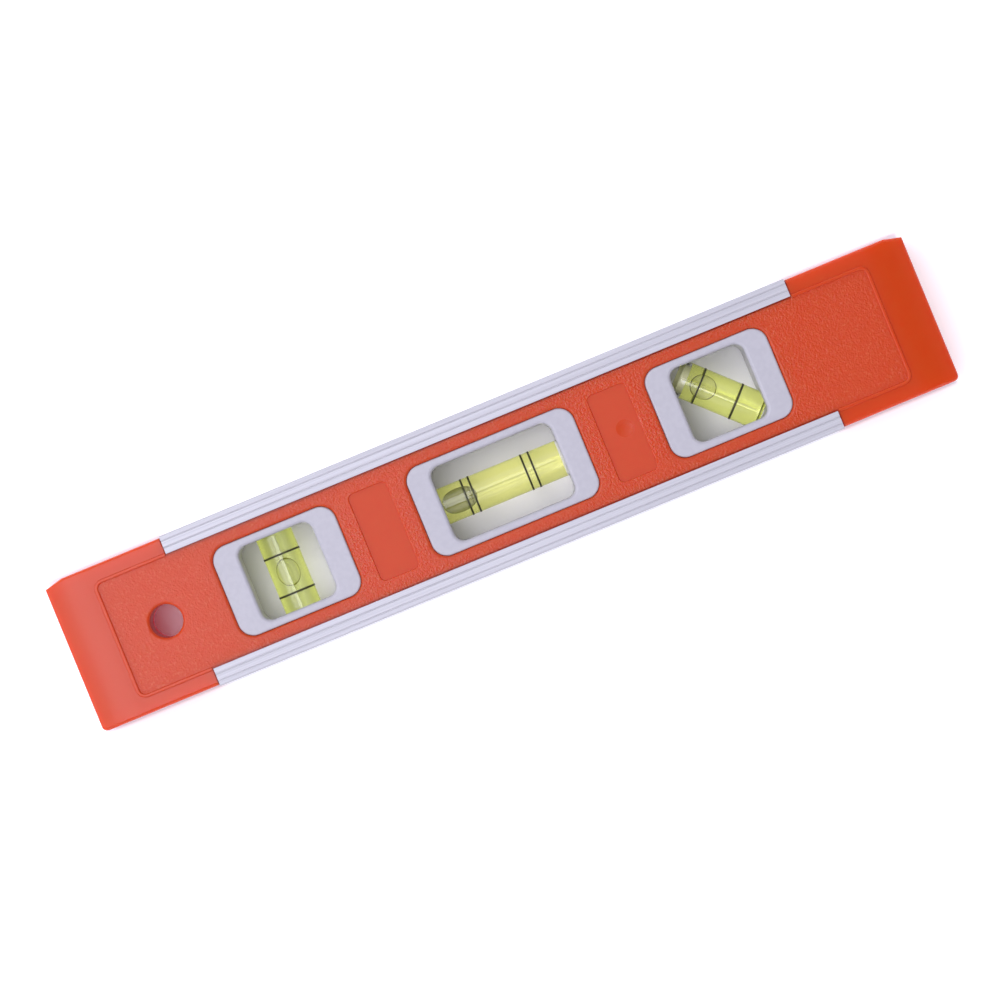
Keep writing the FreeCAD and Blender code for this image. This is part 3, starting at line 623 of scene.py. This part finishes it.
for window in WINDOWS:
    chamber_start = reach_along(window, f"{window}_vial_plug")[1]
    chamber_end = reach_along(window, f"{window}_liquid")[1]
    low = chamber_start + WETTING
    high = chamber_end + WETTING
    profile = [(low, 0)] + barrel(low, high, BORE_RADIUS + WETTING, BORE_CROWN) + [(high, 0)]
    spirit, tree, shader = new_material(f"{window}_spirit")
    height = math_node(tree, "ABSOLUTE", math_node(tree, "SUBTRACT", axes_sockets(tree)["Z"], MIDDLE_Z))
    # Brighter glow where the spirit's surface lies low, at its sides: painted light.
    painted_side_share = range_node(tree, height, GLOW_SIDE * BORE_RADIUS, GLOW_FACE * BORE_RADIUS, 1.0, 0.0)
    dim_glow = (*(part * SPIRIT_GLOW_AND_PAINTED_LIGHT[window] for part in GLOW), 1.0)
    painted_side_glow = (*(part * SPIRIT_PAINTED_SIDE_GLOW[window] for part in GLOW), 1.0)
    tree.links.new(tint_node(tree, painted_side_share, dim_glow, painted_side_glow), shader.inputs["Emission Color"])
    shader.inputs["Emission Strength"].default_value = 1.0
    shader.inputs["Base Color"].default_value = (*SPIRIT_TONE_AND_SHADE[window], 1.0)
    shader.inputs["Roughness"].default_value = 0.0
    shader.inputs["IOR"].default_value = LIQUID_IOR
    shader.inputs["Transmission Weight"].default_value = 1.0
    shadow_tint(tree, shader.outputs["BSDF"], (*SPIRIT_SHADE[window], 1.0))
    piece = turned(f"{window}_spirit", profile, window)
    piece.data.materials.append(spirit)
    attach(piece, "frame")
    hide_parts(f"{window}_liquid")

# Bubbles
# Air, pressed against the top of each bore and clear but for its edge, which is painted dark: painted
# shade for the dark surroundings that the liquid reflects wholly there. The level bubble is a darker
# copy, painted shade for the frame's shadow on that end of its vial. Each rides on its own body and
# slides along its vial.
BUBBLE_FILM = 0.12 * MM
BUBBLE_WIDTH = {"plumb": 5.3 * MM, "level": 6.4 * MM, "angle": 5.8 * MM}
BUBBLE_DEPTH = {"plumb": 3.4 * MM, "level": 3.5 * MM, "angle": 3.5 * MM}
EGG_SEGMENTS = 96
EGG_RINGS = 64
RIM_START = 0.40
RIM_END = 0.54
NO_TINT = (1.0, 1.0, 1.0, 1.0)
BUBBLE_CLEAR_AND_SHADE = {
    "plumb": (0.99, 0.99, 1.0, 1.0),
    "level": (0.40, 0.395, 0.46, 1.0),
    "angle": (1.0, 0.99, 0.99, 1.0),
}
BUBBLE_RIM_SHADE = {
    "plumb": (0.50, 0.50, 0.38, 1.0),
    "level": (0.20, 0.20, 0.13, 1.0),
    "angle": (0.14, 0.14, 0.07, 1.0),
}

for window in WINDOWS:
    air, tree, shader = new_material(f"{window}_air")
    facing = tree.nodes.new("ShaderNodeLayerWeight")
    facing.inputs["Blend"].default_value = 0.5
    # Dark edge where the bubble is seen edge-on: painted shade.
    painted_rim = range_node(tree, facing.outputs["Facing"], RIM_START, RIM_END)
    shader.inputs["Base Color"].default_value = BUBBLE_CLEAR_AND_SHADE[window]
    shader.inputs["Roughness"].default_value = 0.0
    shader.inputs["IOR"].default_value = 1 / LIQUID_IOR
    shader.inputs["Transmission Weight"].default_value = 1.0
    in_shadow = tree.nodes.new("ShaderNodeLightPath").outputs["Is Shadow Ray"]
    through = tree.nodes.new("ShaderNodeBsdfTransparent")
    tree.links.new(tint_node(tree, in_shadow, BUBBLE_RIM_SHADE[window], NO_TINT), through.inputs["Color"])
    mix = tree.nodes.new("ShaderNodeMixShader")
    tree.links.new(math_node(tree, "MAXIMUM", in_shadow, painted_rim), mix.inputs["Fac"])
    tree.links.new(shader.outputs["BSDF"], mix.inputs[1])
    tree.links.new(through.outputs["BSDF"], mix.inputs[2])
    tree.links.new(mix.outputs["Shader"], tree.nodes["Material Output"].inputs["Surface"])
    start, end = reach_along(window, f"{window}_bubble")
    width = BUBBLE_WIDTH[window]
    depth = BUBBLE_DEPTH[window]
    top = BORE_RADIUS - BUBBLE_FILM
    egg = bmesh.new()
    bmesh.ops.create_uvsphere(egg, u_segments=EGG_SEGMENTS, v_segments=EGG_RINGS, radius=1.0)
    bmesh.ops.scale(egg, vec=((end - start) / 2, width / 2, depth / 2), verts=egg.verts)
    middle_height = top + width ** 2 / (8 * top) - depth / 2
    bmesh.ops.translate(egg, vec=((start + end) / 2, 0, middle_height), verts=egg.verts)
    for vert in egg.verts:
        reach = sqrt(vert.co.y ** 2 + vert.co.z ** 2)
        if reach > top:
            vert.co.yz = (vert.co.y * top / reach, vert.co.z * top / reach)
    for face in egg.faces:
        face.smooth = True
    bmesh.ops.transform(egg, matrix=vial_place(window), verts=egg.verts)
    mesh = bpy.data.meshes.new(f"{window}_air")
    egg.to_mesh(mesh)
    egg.free()
    mesh.materials.append(air)
    piece = bpy.data.objects.new(f"{window}_air", mesh)
    scene.collection.objects.link(piece)
    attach(piece, f"{window}_bubble")
    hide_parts(f"{window}_bubble")

# Marker rings
# Black lines of ink printed round each vial, in pairs that the bubble lies between when the level
# is true. The ink is a little thin in places.
INK = (0.036, 0.038, 0.010, 1.0)
INK_THIN = (0.085, 0.090, 0.035, 1.0)
INK_PATCH = 0.9 * MM

ink, tree, shader = new_material("marker_ink")
patches = noise_node(tree, place_socket(tree), 1 / INK_PATCH, detail=3.0)
thin_share = range_node(tree, patches, low=0.5, high=0.75)
tree.links.new(tint_node(tree, thin_share, INK, INK_THIN), shader.inputs["Base Color"])
shader.inputs["Roughness"].default_value = 0.5

for node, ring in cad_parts.items():
    if "_mark_" in node:
        ring.data.materials.clear()
        ring.data.materials.append(ink)

# Floor
# White board under the level, far wider than the view. It glows, which is painted light: more round
# the level, where it fills in the level's shadow on the board, and only a little under it.
FLOOR_SIZE = 8.0
FLOOR_WHITE = (0.98, 0.975, 0.98, 1.0)
FLOOR_PAINTED_GLOW = (0.42, 0.42, 0.42, 1.0)
FLOOR_PAINTED_GLOW_UNDER = (0.03, 0.03, 0.03, 1.0)
FLOOR_RIM = 1.0 * MM

floor_bm = bmesh.new()
bmesh.ops.create_grid(floor_bm, x_segments=1, y_segments=1, size=FLOOR_SIZE / 2)
floor_mesh = bpy.data.meshes.new("floor")
floor_bm.to_mesh(floor_mesh)
floor_bm.free()
floor = bpy.data.objects.new("floor", floor_mesh)
scene.collection.objects.link(floor)
board, tree, shader = new_material("floor_paint")
axes = axes_sockets(tree)
beside = []
for axis, edge in (("X", cad_high.x), ("Y", cad_high.y)):
    from_middle = math_node(tree, "ABSOLUTE", axes[axis])
    beside.append(range_node(tree, from_middle, edge, edge + FLOOR_RIM))
# Glow round the level but not under it: painted light over the level's shadow.
outside_painted_glow = math_node(tree, "MAXIMUM", *beside)
tree.links.new(tint_node(tree, outside_painted_glow, FLOOR_PAINTED_GLOW_UNDER, FLOOR_PAINTED_GLOW), shader.inputs["Emission Color"])
shader.inputs["Emission Strength"].default_value = 1.0
shader.inputs["Base Color"].default_value = FLOOR_WHITE
shader.inputs["Roughness"].default_value = 0.9
shader.inputs["Specular IOR Level"].default_value = 0.0
floor_mesh.materials.append(board)
